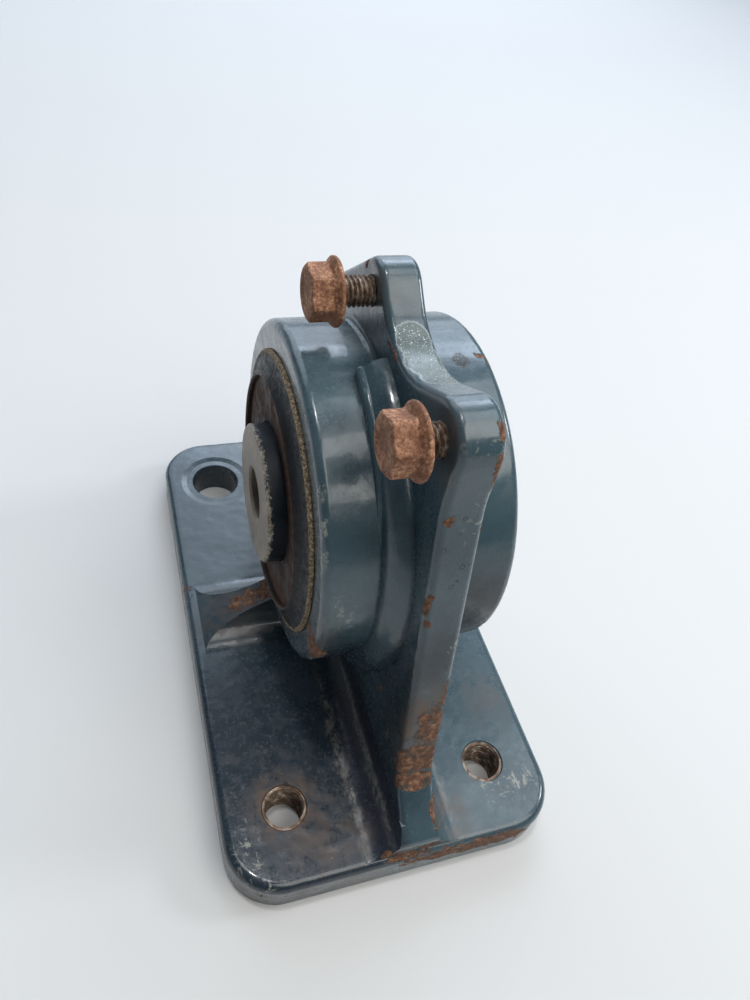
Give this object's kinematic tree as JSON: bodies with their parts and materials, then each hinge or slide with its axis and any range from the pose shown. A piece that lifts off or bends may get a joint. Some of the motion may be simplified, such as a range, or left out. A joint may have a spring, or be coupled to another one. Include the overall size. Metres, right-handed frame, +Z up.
{
  "type": "flange mounted ball bearing bracket",
  "caption": "Cast bearing bracket on a rectangular base plate: an upright web with two clamp bolts carries a barrel where a bored sleeve turns in paired ball bearings.",
  "frame": {"origin": "middle of the base plate's underside", "axes": "+X along the barrel and sleeve, away from the bolt heads; +Y along the plate's long side; +Z up"},
  "size_m": [0.127, 0.2206, 0.1828],
  "materials": {
    "casting_paint": "glossy enamel over a casting, worn and chipped",
    "rusty_bolt": "heavily rusted steel",
    "sleeve_steel": "turned steel, end faces bare, sides overpainted",
    "ring_paint": "dark overpaint on steel",
    "shield_rust": "pressed steel with brown rust",
    "bead_crust": "dried fibrous sealing crust",
    "ball_steel": "polished bearing steel",
    "cage_steel": "pressed steel",
    "bearing_steel": "ground bearing steel"
  },
  "bodies": {
    "bracket": {"bracket": "casting_paint", "inboard_shield_left": "bearing_steel", "inboard_shield_right": "bearing_steel", "outboard_shield_left": "shield_rust", "outboard_shield_right": "shield_rust", "outer_ring_left": "ring_paint", "outer_ring_right": "ring_paint", "seam_bead_left": "bead_crust", "seam_bead_right": "bead_crust"},
    "sleeve": {"sleeve": "sleeve_steel", "inner_spacer": "bearing_steel", "inner_ring_left": "bearing_steel", "inner_ring_right": "bearing_steel"},
    "cage_left": {"ball_left_01": "ball_steel", "ball_left_02": "ball_steel", "ball_left_03": "ball_steel", "ball_left_04": "ball_steel", "ball_left_05": "ball_steel", "ball_left_06": "ball_steel", "ball_left_07": "ball_steel", "ball_left_08": "ball_steel", "ball_left_09": "ball_steel", "ball_left_10": "ball_steel", "cage_inboard_left": "cage_steel", "cage_outboard_left": "cage_steel", "cage_rivets_left": "cage_steel"},
    "cage_right": {"ball_right_01": "ball_steel", "ball_right_02": "ball_steel", "ball_right_03": "ball_steel", "ball_right_04": "ball_steel", "ball_right_05": "ball_steel", "ball_right_06": "ball_steel", "ball_right_07": "ball_steel", "ball_right_08": "ball_steel", "ball_right_09": "ball_steel", "ball_right_10": "ball_steel", "cage_inboard_right": "cage_steel", "cage_outboard_right": "cage_steel", "cage_rivets_right": "cage_steel"},
    "front_bolt": {"front_bolt": "rusty_bolt"},
    "rear_bolt": {"rear_bolt": "rusty_bolt"}
  },
  "joints": [
    {"name": "sleeve_spin", "type": "hinge", "parent": "bracket", "child": "sleeve", "pos_m": [0.0033, 0.0033, 0.0937], "axis": [1, 0, 0], "continuous": true},
    {"name": "cage_left_spin", "type": "hinge", "parent": "bracket", "child": "cage_left", "pos_m": [0.0033, 0.0033, 0.0937], "axis": [1, 0, 0], "continuous": true},
    {"name": "cage_right_spin", "type": "hinge", "parent": "bracket", "child": "cage_right", "pos_m": [0.0033, 0.0033, 0.0937], "axis": [1, 0, 0], "continuous": true},
    {"name": "front_bolt_screw", "type": "slide", "parent": "bracket", "child": "front_bolt", "axis": [1, 0, 0], "range_m": [-0.011, 0.0059]},
    {"name": "rear_bolt_screw", "type": "slide", "parent": "bracket", "child": "rear_bolt", "axis": [1, 0, 0], "range_m": [-0.0058, 0.0111]}
  ],
  "couplings": [
    {"joint": "cage_left_spin", "follows": "sleeve_spin", "ratio": 0.40782},
    {"joint": "cage_right_spin", "follows": "sleeve_spin", "ratio": 0.40782}
  ]
}
